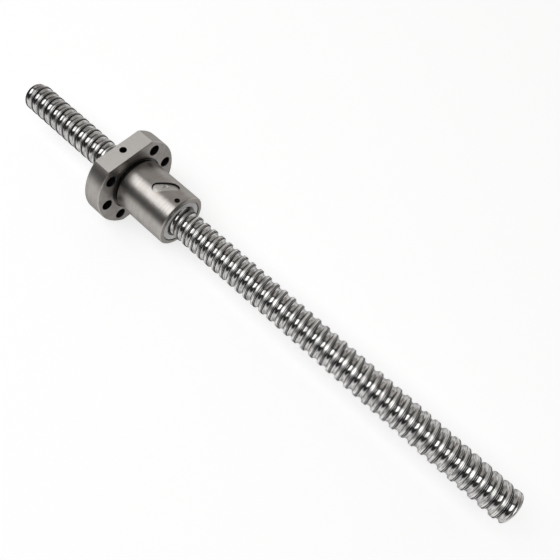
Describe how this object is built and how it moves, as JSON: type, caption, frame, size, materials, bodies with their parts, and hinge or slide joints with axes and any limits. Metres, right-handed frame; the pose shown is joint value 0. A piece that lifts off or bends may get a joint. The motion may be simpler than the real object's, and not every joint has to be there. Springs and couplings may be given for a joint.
{
  "type": "ball screw assembly",
  "caption": "Rolled ball screw shaft with a single flanged ball nut that travels along it as it turns, on recirculating balls.",
  "frame": {"origin": "on the screw's axis, half way along the shaft", "axes": "+X along the screw's axis, from the flange towards the nut's nose and the longer free end; +Z out of the flange's flat that holds the oil port; +Y by the right-hand rule"},
  "size_m": [0.3, 0.048, 0.04],
  "materials": {
    "screw_steel": "rolled and polished bearing steel, bright",
    "nut_steel": "ground bearing steel, satin",
    "deflector_steel": "sintered steel insert, matt",
    "ball_steel": "polished bearing balls",
    "set_screw_steel": "black oxide",
    "wiper_plastic": "moulded, pale grey"
  },
  "bodies": {
    "screw": {"screw_shaft": "screw_steel"},
    "rear_wiper": {"rear_wiper": "wiper_plastic"},
    "nut": {"nut_body": "nut_steel", "front_wiper": "wiper_plastic", "wiper_set_screw": "set_screw_steel", "ball_deflector_1": "deflector_steel", "ball_deflector_2": "deflector_steel", "ball_deflector_3": "deflector_steel", "ball_1_01": "ball_steel", "ball_1_02": "ball_steel", "ball_1_03": "ball_steel", "ball_1_04": "ball_steel", "ball_1_05": "ball_steel", "ball_1_06": "ball_steel", "ball_1_07": "ball_steel", "ball_1_08": "ball_steel", "ball_1_09": "ball_steel", "ball_1_10": "ball_steel", "ball_1_11": "ball_steel", "ball_1_12": "ball_steel", "ball_1_13": "ball_steel", "ball_1_14": "ball_steel", "ball_1_15": "ball_steel", "ball_1_16": "ball_steel", "ball_2_01": "ball_steel", "ball_2_02": "ball_steel", "ball_2_03": "ball_steel", "ball_2_04": "ball_steel", "ball_2_05": "ball_steel", "ball_2_06": "ball_steel", "ball_2_07": "ball_steel", "ball_2_08": "ball_steel", "ball_2_09": "ball_steel", "ball_2_10": "ball_steel", "ball_2_11": "ball_steel", "ball_2_12": "ball_steel", "ball_2_13": "ball_steel", "ball_2_14": "ball_steel", "ball_2_15": "ball_steel", "ball_2_16": "ball_steel", "ball_3_01": "ball_steel", "ball_3_02": "ball_steel", "ball_3_03": "ball_steel", "ball_3_04": "ball_steel", "ball_3_05": "ball_steel", "ball_3_06": "ball_steel", "ball_3_07": "ball_steel", "ball_3_08": "ball_steel", "ball_3_09": "ball_steel", "ball_3_10": "ball_steel", "ball_3_11": "ball_steel", "ball_3_12": "ball_steel", "ball_3_13": "ball_steel", "ball_3_14": "ball_steel", "ball_3_15": "ball_steel", "ball_3_16": "ball_steel"}
  },
  "joints": [
    {"name": "nut_travel", "type": "slide", "parent": "screw", "child": "rear_wiper", "axis": [1, 0, 0], "range_m": [-0.0696, 0.1881]},
    {"name": "nut_turn", "type": "hinge", "parent": "rear_wiper", "child": "nut", "pos_m": [-0.0594, 0, 0], "axis": [1, 0, 0], "range_deg": [-5004, 13536]}
  ],
  "couplings": [
    {"joint": "nut_travel", "follows": "nut_turn", "m_per_rad": 0.00079577}
  ]
}
